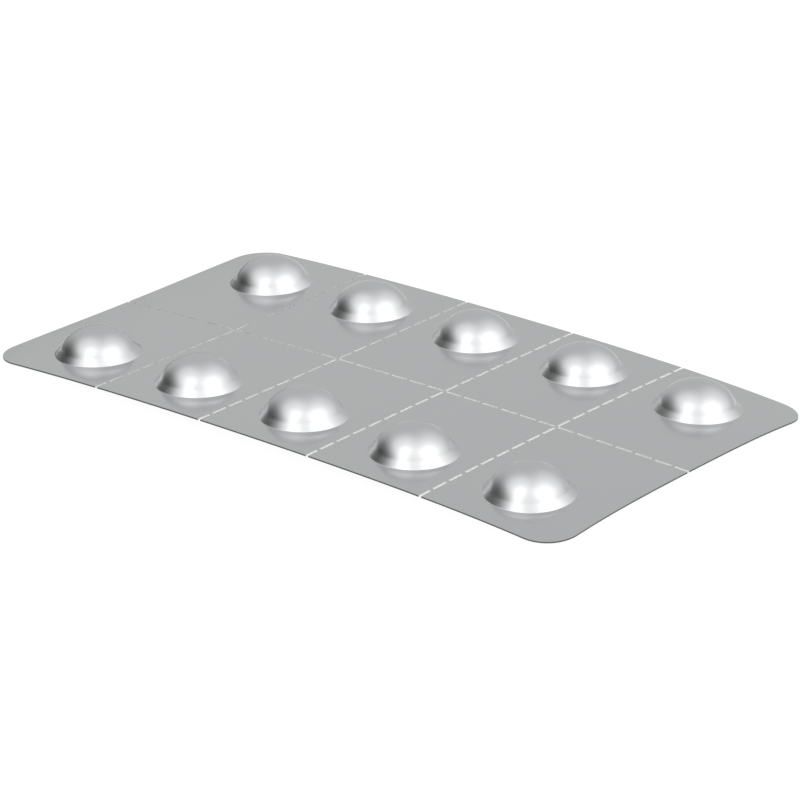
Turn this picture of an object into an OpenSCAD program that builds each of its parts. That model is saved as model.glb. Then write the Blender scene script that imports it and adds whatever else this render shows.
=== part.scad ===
// Foil blister card: ten domed pockets in two rows, parted into ten cells by perforated tear lines.
// Lengths are in millimetres. The card lies on its two short ends, arched up in the middle, pockets up.

/* [Card] */
// Thickness of the two foils where they are sealed together
foil_t = 0.2; // [0.15:0.05:0.5]
// Distance from a pocket's centre to the card's long edge
side_margin = 9.35; // [9:0.05:14]
// How much longer the two end cells are than the others
end_extra = 2; // [0.5:0.5:8]
// Radius of the card's corners
corner_r = 4.5; // [1:0.5:8]
// Height of the arch in the middle of the card
bow = 0.9; // [0.3:0.1:3]

/* [Pockets] */
// Pockets in each row
pockets_along = 5; // [2:1:6]
// Length of a cell, from one pocket to the next
cell_l = 18; // [17:0.5:24]
// Distance between the centre lines of the two rows
row_gap = 33.7; // [18:0.1:44]
// Diameter of a pocket's foot
pocket_d = 11.5; // [9:0.1:13]
// Height of a pocket above the foil
pocket_h = 3.65; // [3.4:0.05:4.6]
// Height of the sloping lip round a pocket's foot
lip_h = 0.9; // [0.6:0.05:1]
// Width of that lip
lip_w = 0.85; // [0.7:0.05:1]
// Radius of a pocket's top, as a multiple of the radius that a plain round cap would have
top_flatness = 1.04; // [1.02:0.02:1.2]
// Radius of the shoulder between top and lip, as a share of the top's radius
shoulder_share = 0.74; // [0.4:0.02:0.8]

/* [Tear lines] */
// Distance from one cut to the next
cut_pitch = 3; // [2.7:0.1:6]
// Length of a cut
cut_l = 2.4; // [1:0.1:2.5]
// Width of a cut
cut_w = 0.35; // [0.2:0.05:0.6]
// How far the tear lines sit from the middle between the pockets
line_shift = -0.25; // [-0.6:0.05:0.6]

/* [Hidden] */
$fn = 96;

card_l = pockets_along * cell_l + 2 * end_extra;
card_w = row_gap + 2 * side_margin;

// Room that trimming and cutting shapes leave beyond the foil
spare = 1;

// The arch is part of a large cylinder that lies across the card, drawn as narrow strips
bow_r = (pow(card_l / 2, 2) + pow(bow, 2)) / (2 * bow);
bow_z = bow - bow_r;
bow_end = asin((card_l / 2 + spare) / bow_r);
bow_strips = 25;

// Section of a pocket: a flattish round top, a tighter shoulder that runs out of it, and a straight lip.
// The shoulder's circle touches the top's circle and passes through the lip's upper corner.
foot_r = pocket_d / 2;
corner = [foot_r - lip_w, lip_h];
cap_h = pocket_h - lip_h;
top_r = top_flatness * (pow(corner.x, 2) + pow(cap_h, 2)) / (2 * cap_h);
top_middle = [0, pocket_h - top_r];
shoulder_r = shoulder_share * top_r;
reach = norm(corner - top_middle);
towards = (corner - top_middle) / reach;
shoulder_along = (pow(top_r - shoulder_r, 2) - pow(shoulder_r, 2) + pow(reach, 2)) / (2 * reach);
shoulder_aside = sqrt(pow(top_r - shoulder_r, 2) - pow(shoulder_along, 2));
shoulder_middle = top_middle + towards * shoulder_along + [-towards.y, towards.x] * shoulder_aside;

// How far a pocket reaches down into the foil, and the lip on into the shoulder
pocket_root = foil_t / 2;
lip_root = 0.2;

// Places of pockets and tear lines, from the middle of the card
function pocket_x(i) = (i - (pockets_along - 1) / 2) * cell_l;
function line_x(i) = (i - pockets_along / 2) * cell_l + line_shift;

// Carries what is made for a flat card to its place on the arch
module on_card(along, across) {
    translate([0, across, bow_z])
        rotate([0, along / bow_r * 180 / PI, 0])
            translate([0, 0, bow_r + foil_t])
                children();
}

// Points along the arch at a radius, from its left end to its right end
function arch_points(r) = [
    for (i = [0 : bow_strips])
        let (a = bow_end * (2 * i / bow_strips - 1))
            [r * sin(a), bow_z + r * cos(a)]
];

function backwards(points) = [for (i = [len(points) - 1 : -1 : 0]) points[i]];

// Side view of the arched foil
module arch_section() {
    polygon(concat(arch_points(bow_r + foil_t), backwards(arch_points(bow_r))));
}

// Outline of the card, seen from above
module card_outline() {
    x = card_l / 2 - corner_r;
    y = card_w / 2 - corner_r;
    square([2 * x, card_w], center = true);
    square([card_l, 2 * y], center = true);
    for (i = [-1, 1], j = [-1, 1])
        translate([i * x, j * y]) circle(r = corner_r);
}

module card() {
    intersection() {
        translate([0, 0, -spare])
            linear_extrude(height = bow + foil_t + 2 * spare) card_outline();
        rotate([90, 0, 0])
            linear_extrude(height = card_w + 2 * spare, center = true) arch_section();
    }
}

// The top fills the wedge between the pocket's middle line and the line through both circles' middles
module cap_section() {
    far = 2 * top_r / norm(shoulder_middle - top_middle);
    intersection() {
        translate([0, -pocket_root]) square([foot_r, pocket_root + pocket_h]);
        union() {
            intersection() {
                translate(top_middle) circle(r = top_r);
                polygon([top_middle, top_middle + far * (shoulder_middle - top_middle), [0, far * top_r]]);
            }
            translate(shoulder_middle) circle(r = shoulder_r);
        }
    }
}

module lip_section() {
    inside = corner + lip_root * (corner - [foot_r, 0]);
    polygon([[0, -pocket_root], [foot_r, -pocket_root], [foot_r, 0], inside, [0, inside.y]]);
}

module pocket() {
    rotate_extrude() {
        cap_section();
        lip_section();
    }
}

// A cut goes right through the foil
module cut(size_x, size_y) {
    cube([size_x, size_y, 2 * (foil_t + spare)], center = true);
}

// Tear line between the two rows. Lands, not cuts, lie where the first tear line crosses it.
module long_tear_line() {
    cuts_left = ceil((card_l / 2 + line_x(1)) / cut_pitch);
    cuts_right = ceil((card_l / 2 - line_x(1)) / cut_pitch);
    for (k = [-cuts_left : cuts_right - 1])
        on_card(line_x(1) + (k + 0.5) * cut_pitch, 0) cut(cut_l, cut_w);
}

// Tear line between two neighbouring cells of each row
module cross_tear_line(along) {
    cuts = ceil(card_w / 2 / cut_pitch);
    for (k = [-cuts : cuts - 1])
        on_card(along, (k + 0.5) * cut_pitch) cut(cut_w, cut_l);
}

module blister_pack() {
    color("silver")
        difference() {
            union() {
                card();
                for (i = [0 : pockets_along - 1], side = [-1, 1])
                    on_card(pocket_x(i), side * row_gap / 2) pocket();
            }
            long_tear_line();
            for (i = [1 : pockets_along - 1])
                cross_tear_line(line_x(i));
        }
}

blister_pack();
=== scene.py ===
import math

import bmesh
import bpy
from mathutils import Matrix, Vector


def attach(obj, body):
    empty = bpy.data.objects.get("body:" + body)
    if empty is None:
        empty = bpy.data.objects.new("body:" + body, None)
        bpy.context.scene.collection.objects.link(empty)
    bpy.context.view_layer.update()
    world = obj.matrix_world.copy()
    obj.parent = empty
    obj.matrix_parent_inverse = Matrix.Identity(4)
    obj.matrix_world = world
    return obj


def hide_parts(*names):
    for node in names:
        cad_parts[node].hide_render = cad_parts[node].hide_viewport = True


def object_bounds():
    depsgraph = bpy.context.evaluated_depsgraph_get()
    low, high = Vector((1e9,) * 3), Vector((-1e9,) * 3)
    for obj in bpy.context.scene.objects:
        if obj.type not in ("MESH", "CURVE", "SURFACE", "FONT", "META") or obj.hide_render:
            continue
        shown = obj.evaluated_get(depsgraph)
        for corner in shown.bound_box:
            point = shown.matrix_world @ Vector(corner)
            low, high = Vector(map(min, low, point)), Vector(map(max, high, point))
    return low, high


# Foil blister card with ten domed pockets, on a white table under soft studio light.
# Lengths in the dictionaries are in metres, and mm turns a size in millimetres into metres.

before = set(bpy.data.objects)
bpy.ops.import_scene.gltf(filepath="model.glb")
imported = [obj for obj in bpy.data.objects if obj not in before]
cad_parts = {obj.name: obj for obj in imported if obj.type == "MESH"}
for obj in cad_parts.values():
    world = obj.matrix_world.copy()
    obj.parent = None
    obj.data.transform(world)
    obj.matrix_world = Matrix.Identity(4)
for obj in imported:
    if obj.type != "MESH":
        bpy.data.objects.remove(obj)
cadLow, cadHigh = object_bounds()
scene = bpy.context.scene
scene.view_settings.view_transform = "Standard"
mm = 0.001
print("frame loaded, card", [round(size / mm, 2) for size in cadHigh - cadLow], "mm")


def linearColour(hexCode):
    # sRGB hex code to the linear colour that nodes work in
    shares = [int(hexCode[i:i + 2], 16) / 255 for i in (1, 3, 5)]
    return [s / 12.92 if s <= 0.04045 else ((s + 0.055) / 1.055) ** 2.4 for s in shares] + [1]


def addNode(tree, kind, settings=None, inputs=None):
    # an input goes by its name, or by its number where several share a name,
    # and is either a plain value or another node's output, which is linked
    node = tree.nodes.new(kind)
    for name, value in (settings or {}).items():
        setattr(node, name, value)
    for name, value in (inputs or {}).items():
        if isinstance(value, bpy.types.NodeSocket):
            tree.links.new(value, node.inputs[name])
        else:
            node.inputs[name].default_value = value
    return node


def emptyTree(owner):
    owner.use_nodes = True
    owner.node_tree.nodes.clear()
    return owner.node_tree


def makePiece(name, bm):
    # a finished bmesh becomes an object of the scene
    mesh = bpy.data.meshes.new(name)
    bm.to_mesh(mesh)
    bm.free()
    piece = bpy.data.objects.new(name, mesh)
    scene.collection.objects.link(piece)
    return piece


# materials

foilFinish = {
    "colour": "#D6D7D8",
    "sealedRoughness": 0.16,    # pressed flat by the sealing plate
    "drawnRoughness": 0.3,      # the domes' metal is stretched, which dulls it
    "roughnessSpread": 0.03,
    "patchSize": 6 * mm,        # clouds in the sheen, from uneven pressure of the sealing plate
    "patchDetail": 3.0,
    # dark grey of the card's outer cut edge, partly painted shade for the contact shadow along it
    "edgeAndPaintedShadeColour": "#5C5D5E",
    "edgeMetallic": 0.6,
    "edgeRoughness": 0.55,
    # white plastic layer of the cut walls, with painted light where the lit table shows through them
    "plasticAndPaintedLightColour": "#F4F4F2",
    # painted shade of the cut walls at the left, where the table under the sheet is in shade
    "paintedShadeColour": "#C8C9CA",
    "punchedRoughness": 0.6,
    "paintedLightRise": Vector((28, -15, 0)),   # growth per metre of the cut walls' painted light, paler to the right and the front
    "biteSpread": 0.5,
    "biteDetail": 1.0,
}

# most of a noise node's values lie between these
noiseLow = 0.3
noiseHigh = 0.7


def aluminiumFoil(name, finish, roughnessMean):
    # aluminium laminate: a satin mirror, grey where it faces grey, with soft-edged highlights
    material = bpy.data.materials.new(name)
    tree = emptyTree(material)
    place = addNode(tree, "ShaderNodeTexCoord").outputs["Object"]
    clouds = addNode(tree, "ShaderNodeTexNoise", {}, {
        "Vector": place, "Scale": 1 / finish["patchSize"], "Detail": finish["patchDetail"]})
    roughness = addNode(tree, "ShaderNodeMapRange", {}, {
        "Value": clouds.outputs["Fac"], "From Min": noiseLow, "From Max": noiseHigh,
        "To Min": roughnessMean - finish["roughnessSpread"],
        "To Max": roughnessMean + finish["roughnessSpread"]})
    shader = addNode(tree, "ShaderNodeBsdfPrincipled", {}, {
        "Base Color": linearColour(finish["colour"]), "Metallic": 1.0,
        "Roughness": roughness.outputs["Result"]})
    addNode(tree, "ShaderNodeOutputMaterial", {}, {"Surface": shader.outputs["BSDF"]})
    return material


def cutEdgeAndPaintedShade(finish):
    # raw edge left by the die: plastic and metal layers side by side, dull and darker than the face;
    # its dark grey is partly painted shade, for the contact shadow along the card's edge
    material = bpy.data.materials.new("cutEdgeAndPaintedShade")
    tree = emptyTree(material)
    shader = addNode(tree, "ShaderNodeBsdfPrincipled", {}, {
        "Base Color": linearColour(finish["edgeAndPaintedShadeColour"]), "Metallic": finish["edgeMetallic"],
        "Roughness": finish["edgeRoughness"]})
    addNode(tree, "ShaderNodeOutputMaterial", {}, {"Surface": shader.outputs["BSDF"]})
    return material


def punchedWallsPaintedLight(finish):
    # walls of the tear cuts: the laminate's white plastic layer shows as pale dashes, with painted
    # light that makes them paler to the right and the front, where the lit table shows through, and
    # painted shade that greys them to the left, and they vary at random
    material = bpy.data.materials.new("punchedWallsPaintedLight")
    tree = emptyTree(material)
    place = addNode(tree, "ShaderNodeTexCoord").outputs["Object"]
    # painted light: the walls grow paler to the right and the front, and greyer to the left as painted
    # shade
    paintedLightRise = addNode(tree, "ShaderNodeVectorMath", {"operation": "DOT_PRODUCT"}, {
        0: place, 1: finish["paintedLightRise"]})
    uneven = addNode(tree, "ShaderNodeTexNoise", {}, {
        "Vector": place, "Scale": 1 / tear["pitch"], "Detail": finish["biteDetail"]})
    spread = addNode(tree, "ShaderNodeMapRange", {}, {
        "Value": uneven.outputs["Fac"], "From Min": noiseLow, "From Max": noiseHigh,
        "To Min": 1 - finish["biteSpread"] / 2, "To Max": 1 + finish["biteSpread"] / 2})
    share = addNode(tree, "ShaderNodeMath", {"operation": "ADD", "use_clamp": True}, {
        0: paintedLightRise.outputs["Value"], 1: spread.outputs["Result"]})
    colour = addNode(tree, "ShaderNodeValToRGB", {}, {"Fac": share.outputs["Value"]})
    colour.color_ramp.elements[0].color = linearColour(finish["paintedShadeColour"])
    colour.color_ramp.elements[1].color = linearColour(finish["plasticAndPaintedLightColour"])
    shader = addNode(tree, "ShaderNodeBsdfPrincipled", {}, {
        "Base Color": colour.outputs["Color"], "Roughness": finish["punchedRoughness"]})
    addNode(tree, "ShaderNodeOutputMaterial", {}, {"Surface": shader.outputs["BSDF"]})
    return material


# the foil card, made flat and then bent

card = {
    "thickness": 0.2 * mm,
    "cornerRadius": 4.5 * mm,
    "cornerSteps": 16,
    "archHeight": 0.9 * mm,     # middle of the card above its two short ends
    "curl": 0.43 * mm,          # long sides droop at the right end and lift at the left end
    "droopLeft": 0.35 * mm,     # how far the corners of each end hang below the rest
    "droopRight": 0.74 * mm,
    "droopPower": 4,            # how closely the droop keeps to the corners
    "cellLength": 18 * mm,
    "rowGap": 33.7 * mm,
    "domesAlong": 5,
}

dome = {
    "footRadius": 5.75 * mm,
    "height": 3.65 * mm,
    "lipHeight": 0.9 * mm,      # sloping lip round the foot
    "lipWidth": 0.85 * mm,
    "topFlatness": 1.04,        # the top's radius against a plain round cap's
    "shoulderShare": 0.74,      # the shoulder's radius against the top's
    "topShift": -0.2 * mm,      # the top sits off the foot's centre, across the card
    "lipBend": 0.8 * mm,        # radius of the hollow bend between shoulder and lip
    "footBend": 0.15 * mm,
    "topSteps": 14,
    "bendSteps": 8,
    "turnSteps": 160,
    "clearance": 0.25 * mm,     # flat foil kept between a dome's foot and the opening cut for it
}

tear = {
    "pitch": 3 * mm,
    "cutLength": 2.4 * mm,
    "cutWidth": 0.35 * mm,
    "shift": -0.25 * mm,        # the cross lines sit a little left of the middle between the domes
    "wallReach": 0.6,           # cut walls lie this close to a tear line, as a share of a cut's width
}

creaseAngle = math.radians(8)
cadLength = cadHigh.x - cadLow.x
cadWidth = cadHigh.y - cadLow.y

mergeDistance = 0.001 * mm      # points closer than this are one point
levelLimit = 0.01 * mm          # flat foil is out of level by less than this, before it is bent
uprightNormal = 0.1             # upright faces have a smaller z in their normal
upwardNormal = 0.5              # faces that look up have a larger one

# the card's material slots, in their order
sealedSlot, edgeSlot, punchedSlot, drawnSlot = range(4)


def crossLines():
    # places of the tear lines between neighbouring cells, from left to right
    count = card["domesAlong"]
    return [(i - count / 2) * card["cellLength"] + tear["shift"] for i in range(1, count)]


def cutCentres(start, reach):
    # middles of the cuts of a tear line whose lands meet the lines that cross it at start
    first = math.floor((-reach - start) / tear["pitch"])
    last = math.ceil((reach - start) / tear["pitch"])
    return [start + (k + 0.5) * tear["pitch"] for k in range(first, last)]


def domeCentres():
    count = card["domesAlong"]
    return [((i - (count - 1) / 2) * card["cellLength"], side * card["rowGap"] / 2)
            for i in range(count) for side in (-1, 1)]


def vertsOf(made):
    return [part for part in made if isinstance(part, bmesh.types.BMVert)]


def flatSheet(bm):
    # one face with the card's outline
    made = bmesh.ops.create_grid(bm, x_segments=1, y_segments=1, size=0.5,
                                 matrix=Matrix.Diagonal((cadLength, cadWidth, 1, 1)))
    bmesh.ops.bevel(bm, geom=made["verts"], offset=card["cornerRadius"], affect="VERTICES",
                    segments=card["cornerSteps"], profile=0.5, material=-1)


def sliceSheet(bm, axis, places):
    for place in places:
        bmesh.ops.bisect_plane(bm, geom=bm.verts[:] + bm.edges[:] + bm.faces[:],
                               plane_co=axis * place, plane_no=axis, dist=mergeDistance)


def cutTearLines(bm):
    halfCut = tear["cutLength"] / 2
    halfWidth = tear["cutWidth"] / 2
    alongCuts = cutCentres(crossLines()[0], cadLength / 2)
    acrossCuts = cutCentres(0, cadWidth / 2)
    alongX, alongY = Vector((1, 0, 0)), Vector((0, 1, 0))
    sliceSheet(bm, alongX, [c + s * halfCut for c in alongCuts for s in (-1, 1)])
    sliceSheet(bm, alongX, [x + s * halfWidth for x in crossLines() for s in (-1, 1)])
    sliceSheet(bm, alongY, [c + s * halfCut for c in acrossCuts for s in (-1, 1)])
    sliceSheet(bm, alongY, [s * halfWidth for s in (-1, 1)])

    def inCut(point):
        if abs(point.y) < halfWidth:
            return any(abs(point.x - c) < halfCut for c in alongCuts)
        return (any(abs(point.x - x) < halfWidth for x in crossLines())
                and any(abs(point.y - c) < halfCut for c in acrossCuts))

    gone = [face for face in bm.faces if inCut(face.calc_center_median())]
    bmesh.ops.delete(bm, geom=gone, context="FACES")


def giveThickness(bm):
    # the sheet stays as the top face, and its copy goes down as the lidding foil's underside
    made = bmesh.ops.extrude_face_region(bm, geom=bm.faces[:], use_keep_orig=True)
    bmesh.ops.translate(bm, verts=vertsOf(made["geom"]), vec=(0, 0, -card["thickness"]))
    bmesh.ops.recalc_face_normals(bm, faces=bm.faces)


def slopeVectors(angle):
    # out of the surface, and down along it, for a section that slopes down by this angle
    outward = Vector((math.sin(angle), 0, math.cos(angle)))
    downward = Vector((math.cos(angle), 0, -math.sin(angle)))
    return outward, downward


def oneDome():
    # the section is swept on from the top, bend by bend, and then turned into a dome
    lipAngle = math.atan2(dome["lipHeight"], dome["lipWidth"])
    lipOut, lipDown = slopeVectors(lipAngle)
    corner = Vector((dome["footRadius"] - dome["lipWidth"], 0, dome["lipHeight"]))
    capHeight = dome["height"] - dome["lipHeight"]
    topRadius = dome["topFlatness"] * (corner.x ** 2 + capHeight ** 2) / (2 * capHeight)
    shoulder = dome["shoulderShare"] * topRadius
    bend = dome["lipBend"]
    # the shoulder's bend touches the round top and passes through the lip's upper corner
    topMiddle = Vector((0, 0, dome["height"] - topRadius))
    between = corner - topMiddle
    along = (((topRadius - shoulder) ** 2 - shoulder ** 2) / between.length + between.length) / 2
    aside = math.sqrt((topRadius - shoulder) ** 2 - along ** 2)
    towards = between.normalized()
    shoulderMiddle = topMiddle + towards * along + Vector((-towards.z, 0, towards.x)) * aside
    topAngle = math.atan2(shoulderMiddle.x - topMiddle.x, shoulderMiddle.z - topMiddle.z)
    # the hollow bend touches the shoulder's bend and the lip, this far down from the corner
    start = corner + bend * lipOut - shoulderMiddle
    ahead = start.dot(lipDown)
    drop = math.sqrt(ahead ** 2 - start.length_squared + (shoulder + bend) ** 2) - ahead
    reach = start + drop * lipDown
    wallAngle = math.atan2(reach.x, reach.z)
    lipLength = math.hypot(dome["lipHeight"], dome["lipWidth"]) - drop

    bm = bmesh.new()
    end = [bm.verts.new((0, 0, dome["height"]))]

    def bendOn(radius, fromAngle, toAngle, steps):
        # a positive radius bends down, and a negative one bends back up
        centre = end[0].co - radius * slopeVectors(fromAngle)[0]
        made = bmesh.ops.spin(bm, geom=end, cent=centre, axis=(0, 1, 0),
                              angle=toAngle - fromAngle, steps=steps)
        end[:] = vertsOf(made["geom_last"])

    def slideOn(length, angle):
        steps = dome["bendSteps"]
        made = bmesh.ops.spin(bm, geom=end, cent=(0, 0, 0), axis=(0, 1, 0), angle=0, steps=steps,
                              dvec=slopeVectors(angle)[1] * length / steps)
        end[:] = vertsOf(made["geom_last"])

    bendOn(topRadius, 0, topAngle, dome["topSteps"])
    bendOn(shoulder, topAngle, wallAngle, dome["bendSteps"])
    bendOn(-bend, wallAngle, lipAngle, dome["bendSteps"])
    slideOn(lipLength - math.tan(lipAngle / 2) * dome["footBend"], lipAngle)
    bendOn(-dome["footBend"], lipAngle, 0, dome["bendSteps"])
    print("dome slope", round(math.degrees(wallAngle), 1), "at most, and its section ends at",
          [round(size / mm, 4) for size in end[0].co], "mm")
    bmesh.ops.spin(bm, geom=bm.verts[:] + bm.edges[:], cent=(0, 0, 0), axis=(0, 0, 1),
                   angle=math.tau, steps=dome["turnSteps"], use_merge=True)
    bmesh.ops.remove_doubles(bm, verts=bm.verts, dist=mergeDistance)
    bmesh.ops.recalc_face_normals(bm, faces=bm.faces)
    for vert in bm.verts:
        vert.co.y += dome["topShift"] * min(vert.co.z / dome["lipHeight"], 1)
    mesh = bpy.data.meshes.new("oneDome")
    bm.to_mesh(mesh)
    bm.free()
    return mesh


def openTopFace(bm, x, y):
    # flat foil makes room for a dome, by whole faces
    reach = dome["footRadius"] + dome["clearance"]
    gone = [face for face in bm.faces if face.normal.z > upwardNormal
            and all(abs(v.co.z) < levelLimit for v in face.verts)
            and min(v.co.x for v in face.verts) < x + reach
            and max(v.co.x for v in face.verts) > x - reach
            and min(v.co.y for v in face.verts) < y + reach
            and max(v.co.y for v in face.verts) > y - reach]
    bmesh.ops.delete(bm, geom=gone, context="FACES")


def raiseDomes(bm):
    domeMesh = oneDome()
    for x, y in domeCentres():
        openTopFace(bm, x, y)
        known = set(bm.verts)
        bm.from_mesh(domeMesh)
        bmesh.ops.translate(bm, verts=[v for v in bm.verts if v not in known], vec=(x, y, 0))
        rims = [edge for edge in bm.edges if edge.is_boundary]
        bmesh.ops.triangle_fill(bm, edges=rims, use_beauty=True, normal=(0, 0, 1))
    bpy.data.meshes.remove(domeMesh)


def cardHeight(x, y):
    # height of the foil's top face over the table, where the left end and the right corners rest
    along, across = 2 * x / cadLength, 2 * y / cadWidth
    rightShare = (1 + along) / 2
    arch = card["archHeight"] * (1 - along ** 2)
    curl = card["curl"] * (rightShare - along * across ** 2)
    droop = card["droopLeft" if along < 0 else "droopRight"] * (along * across) ** card["droopPower"]
    return card["thickness"] + arch + curl - droop + card["droopRight"] * rightShare


def bendCard(bm):
    step = 0.1 * mm
    for vert in bm.verts:
        x, y, z = vert.co
        slopeX = (cardHeight(x + step, y) - cardHeight(x - step, y)) / (2 * step)
        slopeY = (cardHeight(x, y + step) - cardHeight(x, y - step)) / (2 * step)
        vert.co = Vector((x, y, cardHeight(x, y))) + z * Vector((-slopeX, -slopeY, 1)).normalized()


def inTearLine(place):
    near = tear["wallReach"] * tear["cutWidth"]
    return abs(place.y) < near or any(abs(place.x - x) < near for x in crossLines())


def atRim(place):
    # the rounded corners' walls, too, are less than half a corner radius from a straight edge
    reach = card["cornerRadius"] / 2
    return abs(place.x) > cadLength / 2 - reach or abs(place.y) > cadWidth / 2 - reach


def slotOf(face):
    place = face.calc_center_median()
    if abs(face.normal.z) < uprightNormal:
        return edgeSlot if atRim(place) and not inTearLine(place) else punchedSlot
    return drawnSlot if place.z > levelLimit else sealedSlot


def makeFoilCard():
    bm = bmesh.new()
    flatSheet(bm)
    cutTearLines(bm)
    giveThickness(bm)
    raiseDomes(bm)
    for face in bm.faces:
        face.smooth = True
        face.material_index = slotOf(face)
    for edge in bm.edges:
        edge.smooth = edge.calc_face_angle(0) < creaseAngle
    bendCard(bm)
    loose = sum(1 for edge in bm.edges if not edge.is_manifold)
    print("foil card:", len(bm.verts), "vertices,", len(bm.faces), "faces,", loose, "open edges")
    piece = makePiece("foilCard", bm)
    # in the order of the slots
    cardMaterials = [
        aluminiumFoil("satinSealedFoil", foilFinish, foilFinish["sealedRoughness"]),
        cutEdgeAndPaintedShade(foilFinish),
        punchedWallsPaintedLight(foilFinish),
        aluminiumFoil("dullDrawnFoil", foilFinish, foilFinish["drawnRoughness"]),
    ]
    for material in cardMaterials:
        piece.data.materials.append(material)
    return piece


foilCard = makeFoilCard()
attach(foilCard, "root")
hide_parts("blister_pack")
print("foil card in place")


# table, world and lamps

table = {
    "size": 12.0,
    "bounceColour": "#E6E6E6",
    "shadowShare": 0.15,        # how much of the white that is seen comes from the lamps
    "ownLight": 0.9,
}


def mattWhiteBoard():
    # matt white board: the camera and the metal see it pure white, with the card's faint shadow on it
    material = bpy.data.materials.new("mattWhiteBoard")
    tree = emptyTree(material)
    rays = addNode(tree, "ShaderNodeLightPath").outputs
    mirrored = addNode(tree, "ShaderNodeMath", {"operation": "MAXIMUM"}, {
        0: rays["Is Glossy Ray"], 1: rays["Is Transmission Ray"]})
    seen = addNode(tree, "ShaderNodeMath", {"operation": "MAXIMUM"}, {
        0: rays["Is Camera Ray"], 1: mirrored.outputs["Value"]})
    bounce = addNode(tree, "ShaderNodeBsdfDiffuse", {}, {"Color": linearColour(table["bounceColour"])})
    share = table["shadowShare"]
    lit = addNode(tree, "ShaderNodeBsdfDiffuse", {}, {"Color": (share, share, share, 1)})
    glow = addNode(tree, "ShaderNodeEmission", {}, {"Strength": table["ownLight"]})
    white = addNode(tree, "ShaderNodeAddShader", {}, {
        0: lit.outputs["BSDF"], 1: glow.outputs["Emission"]})
    board = addNode(tree, "ShaderNodeMixShader", {}, {
        0: seen.outputs["Value"], 1: bounce.outputs["BSDF"], 2: white.outputs["Shader"]})
    # seen from below the board is clear, so that the card's underside can be looked at
    below = addNode(tree, "ShaderNodeNewGeometry").outputs["Backfacing"]
    clear = addNode(tree, "ShaderNodeBsdfTransparent")
    oneSided = addNode(tree, "ShaderNodeMixShader", {}, {
        0: below, 1: board.outputs["Shader"], 2: clear.outputs["BSDF"]})
    addNode(tree, "ShaderNodeOutputMaterial", {}, {"Surface": oneSided.outputs["Shader"]})
    return material


def whiteTable():
    bm = bmesh.new()
    bmesh.ops.create_grid(bm, x_segments=1, y_segments=1, size=table["size"] / 2)
    piece = makePiece("table", bm)
    piece.data.materials.append(mattWhiteBoard())
    return piece


whiteTable()

# low cards standing round the foil, as a studio sets them, to be mirrored in the domes' rims
flags = [
    {"name": "backFlag", "middle": (0, 41 * mm), "turn": 0,
     "length": 190 * mm, "height": 7 * mm, "level": 0.6},
    {"name": "leftFlag", "middle": (-62 * mm, 0), "turn": 90,
     "length": 110 * mm, "height": 5 * mm, "level": 0.2},
]


def greyPaper(flag):
    # paper lit from all round, which the metal sees as one plain grey
    material = bpy.data.materials.new(flag["name"] + "Paper")
    tree = emptyTree(material)
    paper = addNode(tree, "ShaderNodeEmission", {}, {"Strength": flag["level"]})
    addNode(tree, "ShaderNodeOutputMaterial", {}, {"Surface": paper.outputs["Emission"]})
    return material


def standFlag(flag):
    bm = bmesh.new()
    x, y = flag["middle"]
    lifted = Matrix.Translation((x, y, flag["height"] / 2))
    turned = Matrix.Rotation(math.radians(flag["turn"]), 4, "Z")
    upright = Matrix.Rotation(math.radians(90), 4, "X")
    sized = Matrix.Diagonal((flag["length"], flag["height"], 1, 1))
    bmesh.ops.create_grid(bm, x_segments=1, y_segments=1, size=0.5,
                          matrix=lifted @ turned @ upright @ sized)
    piece = makePiece(flag["name"], bm)
    piece.data.materials.append(greyPaper(flag))
    # only the metal shows it
    piece.visible_camera = False
    piece.visible_diffuse = False
    piece.visible_shadow = False
    piece.visible_transmission = False
    return piece


for flag in flags:
    standFlag(flag)


def direction(azimuth, elevation=0):
    # azimuth 0 is +Y and 90 is +X, in degrees
    a, e = math.radians(azimuth), math.radians(elevation)
    return Vector((math.sin(a) * math.cos(e), math.cos(a) * math.cos(e), math.sin(e)))


def cosine(degrees):
    return math.cos(math.radians(degrees))


room = {
    "backLevel": 0.6,           # what the flat foil mirrors
    "frontLevel": 1.12,         # behind the camera
    "frontAzimuth": 128,
    "backTurn": -0.55,          # cosines of the angle from the front where the rise starts and ends
    "frontTurn": 0.55,
    "darkAzimuth": -124,        # open side of the studio, left of the picture
    "darkElevation": -4,
    "darkInner": 18,            # degrees from its middle: fully dark, and no longer dark
    "darkOuter": 61,
    "darkShare": 0.95,
}

# pale patches of the walls, in degrees: full within the inner angle, and gone at the outer
glows = [
    {"azimuth": 30, "elevation": 42, "inner": 5, "outer": 40, "level": 0.28},
    {"azimuth": 82, "elevation": 44, "inner": 5, "outer": 40, "level": 0.34},
    {"azimuth": -135, "elevation": 62, "inner": 8, "outer": 36, "level": 0.36},
]


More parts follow.
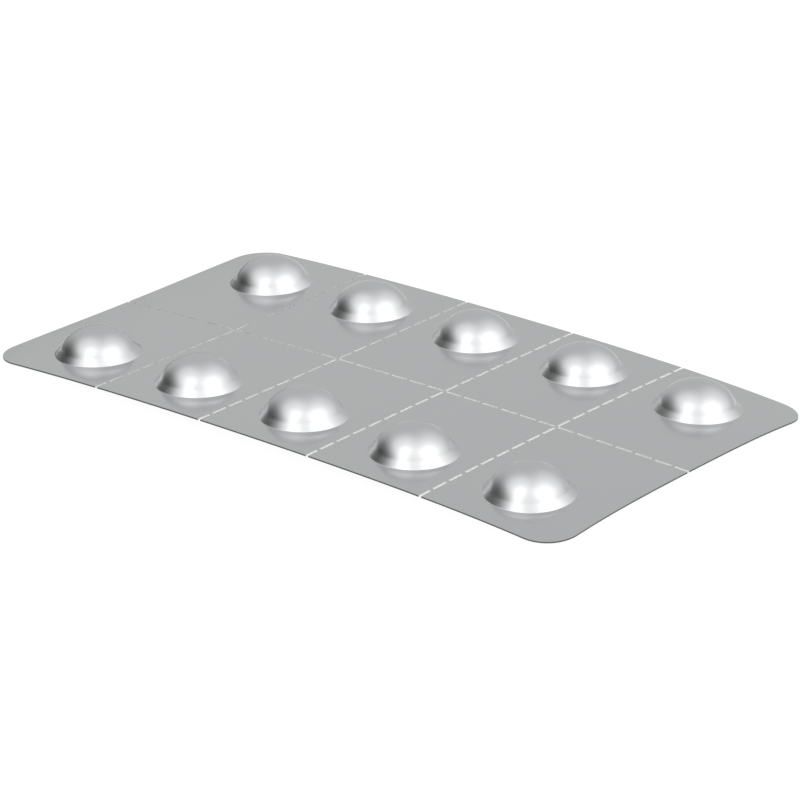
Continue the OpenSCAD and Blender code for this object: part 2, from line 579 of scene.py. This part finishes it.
def greyRoom():
    world = bpy.data.worlds.new("greyRoom")
    scene.world = world
    tree = emptyTree(world)
    ray = addNode(tree, "ShaderNodeTexCoord").outputs["Generated"]

    def towards(aim, low, high, minimum, maximum):
        # smooth rise with the cosine of the angle between the ray and a direction
        turn = addNode(tree, "ShaderNodeVectorMath", {"operation": "DOT_PRODUCT"}, {0: ray, 1: aim})
        return addNode(tree, "ShaderNodeMapRange", {"interpolation_type": "SMOOTHSTEP"}, {
            "Value": turn.outputs["Value"], "From Min": low, "From Max": high,
            "To Min": minimum, "To Max": maximum}).outputs["Result"]

    level = towards(direction(room["frontAzimuth"]), room["backTurn"], room["frontTurn"],
                    room["backLevel"], room["frontLevel"])
    for glow in glows:
        patch = towards(direction(glow["azimuth"], glow["elevation"]),
                        cosine(glow["outer"]), cosine(glow["inner"]), 0, glow["level"])
        level = addNode(tree, "ShaderNodeMath", {"operation": "ADD"}, {
            0: level, 1: patch}).outputs["Value"]
    shade = towards(direction(room["darkAzimuth"], room["darkElevation"]),
                    cosine(room["darkOuter"]), cosine(room["darkInner"]), 1, 1 - room["darkShare"])
    level = addNode(tree, "ShaderNodeMath", {"operation": "MULTIPLY"}, {
        0: level, 1: shade}).outputs["Value"]
    background = addNode(tree, "ShaderNodeBackground", {}, {
        "Color": (1, 1, 1, 1), "Strength": level})
    addNode(tree, "ShaderNodeOutputWorld", {}, {"Surface": background.outputs["Background"]})


greyRoom()

softboxes = [
    {"name": "leftSoftbox", "azimuth": 172, "elevation": 43,
     "width": 0.3, "height": 0.68, "level": 0.65},
    {"name": "rightSoftbox", "azimuth": 87, "elevation": 36,
     "width": 0.42, "height": 0.62, "level": 0.46},
]
softboxDistance = 0.7
cardMiddle = (cadLow + cadHigh) / 2


def hangSoftbox(box):
    light = bpy.data.lights.new(box["name"], "AREA")
    light.shape = "RECTANGLE"
    light.size = box["width"]
    light.size_y = box["height"]
    # power that gives the front of the softbox this brightness
    light.energy = box["level"] * math.pi * box["width"] * box["height"]
    lamp = bpy.data.objects.new(box["name"], light)
    scene.collection.objects.link(lamp)
    away = direction(box["azimuth"], box["elevation"])
    lamp.location = cardMiddle + away * softboxDistance
    lamp.rotation_euler = away.to_track_quat("Z", "Y").to_euler()
    lamp.visible_camera = False


for softbox in softboxes:
    hangSoftbox(softbox)
print("table, room and lamps made")


# camera, matched to the photo through the card's edges and tear lines

cameraView = {
    "place": Vector((295.51, -343.45, 187.25)) * mm,
    "azimuth": 40.585,
    "elevation": 22.646,
    "roll": -0.399,
    "lens": 172.22,
    "sensorWidth": 36,
    "clipStart": 0.05,
    "clipEnd": 50,
}


def makeCamera():
    data = bpy.data.cameras.new("camera")
    data.lens = cameraView["lens"]
    data.sensor_width = cameraView["sensorWidth"]
    data.clip_start = cameraView["clipStart"]
    data.clip_end = cameraView["clipEnd"]
    camera = bpy.data.objects.new("camera", data)
    scene.collection.objects.link(camera)
    turn = (Matrix.Rotation(math.radians(cameraView["azimuth"]), 4, "Z")
            @ Matrix.Rotation(math.radians(90 - cameraView["elevation"]), 4, "X")
            @ Matrix.Rotation(math.radians(cameraView["roll"]), 4, "Z"))
    camera.matrix_world = Matrix.Translation(cameraView["place"]) @ turn
    scene.camera = camera


makeCamera()
print("camera made")
